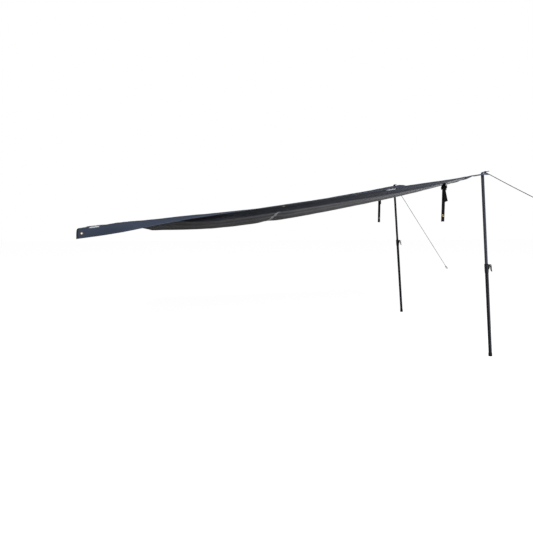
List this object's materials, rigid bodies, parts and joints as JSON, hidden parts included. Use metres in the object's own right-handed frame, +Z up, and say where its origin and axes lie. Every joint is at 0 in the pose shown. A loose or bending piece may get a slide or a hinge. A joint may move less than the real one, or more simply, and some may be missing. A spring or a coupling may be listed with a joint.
{
  "type": "swag awning",
  "caption": "Swag awning: a navy canvas canopy held by its rear edge and by telescopic poles with flip lock clamps, with guy ropes, brass eyelets and webbing tie straps.",
  "frame": {"origin": "on top of the canopy, in the middle of its rear hem, where it is held", "axes": "+X from the rear hem to the poles, +Y across the canopy, +Z up; the ground is 0.977 m below the origin"},
  "size_m": [4.1799, 3.8701, 1.4033],
  "materials": {
    "canvas": "navy polycotton canvas, closely woven, proofed",
    "band": "the same canvas, folded under and stitched",
    "tape": "pale grey seam tape",
    "webbing": "black woven polypropylene webbing",
    "brass": "plain rolled brass",
    "tube_upper": "dark grey steel tube",
    "tube_lower": "black steel tube",
    "plastic": "moulded black nylon",
    "rubber": "black rubber",
    "steel": "zinc plated steel",
    "rope": "grey braided cord"
  },
  "bodies": {
    "canopy": {"canopy_sheet": "canvas", "near_side_band": "band", "far_side_band": "band", "rear_band": "band", "front_band": "band", "mid_seam_tape": "tape", "near_rear_eyelet": "brass", "near_mid_eyelet": "brass", "near_front_eyelet": "brass", "near_strap_eyelet": "brass", "near_strap_tab": "webbing", "near_long_strap": "webbing", "near_short_strap": "webbing", "near_strap_wrap": "webbing", "near_rope_eye": "rope", "near_guy_rope": "rope", "near_rope_end": "rope", "far_rear_eyelet": "brass", "far_mid_eyelet": "brass", "far_front_eyelet": "brass", "far_strap_eyelet": "brass", "far_strap_tab": "webbing", "far_long_strap": "webbing", "far_short_strap": "webbing", "far_strap_wrap": "webbing", "far_rope_eye": "rope", "far_guy_rope": "rope", "far_rope_end": "rope"},
    "near_upper_pole": {"near_spigot": "steel", "near_top_plug": "plastic", "near_upper_tube": "tube_upper", "near_guide_plug": "plastic"},
    "near_lower_pole": {"near_lower_tube": "tube_lower", "near_clamp_collar": "plastic", "near_collar_rivet": "steel", "near_clamp_shoe": "plastic", "near_lever_pin": "steel", "near_foot_cap": "rubber"},
    "near_lever": {"near_cam_lever": "plastic"},
    "far_upper_pole": {"far_spigot": "steel", "far_top_plug": "plastic", "far_upper_tube": "tube_upper", "far_guide_plug": "plastic"},
    "far_lower_pole": {"far_lower_tube": "tube_lower", "far_clamp_collar": "plastic", "far_collar_rivet": "steel", "far_clamp_shoe": "plastic", "far_lever_pin": "steel", "far_foot_cap": "rubber"},
    "far_lever": {"far_cam_lever": "plastic"}
  },
  "joints": [
    {"name": "near_pole_turn", "type": "hinge", "parent": "canopy", "child": "near_upper_pole", "pos_m": [2.92, -1.01802, 0.38805], "axis": [-0.0802, 0, 0.9968], "continuous": true},
    {"name": "near_pole_length", "type": "slide", "parent": "near_upper_pole", "child": "near_lower_pole", "axis": [0.0802, 0, -0.9968], "range_m": [-0.5, 0.07]},
    {"name": "near_cam_lever_turn", "type": "hinge", "parent": "near_lower_pole", "child": "near_lever", "pos_m": [3.00581, -1.01802, -0.28573], "axis": [0, -1, 0], "range_deg": [0, 140]},
    {"name": "far_pole_turn", "type": "hinge", "parent": "canopy", "child": "far_upper_pole", "pos_m": [2.92, 1.01802, 0.407], "axis": [-0.0802, 0, 0.9968], "continuous": true},
    {"name": "far_pole_length", "type": "slide", "parent": "far_upper_pole", "child": "far_lower_pole", "axis": [0.0802, 0, -0.9968], "range_m": [-0.5, 0.17]},
    {"name": "far_cam_lever_turn", "type": "hinge", "parent": "far_lower_pole", "child": "far_lever", "pos_m": [2.99948, 1.01802, -0.18805], "axis": [0, -1, 0], "range_deg": [0, 140]}
  ]
}
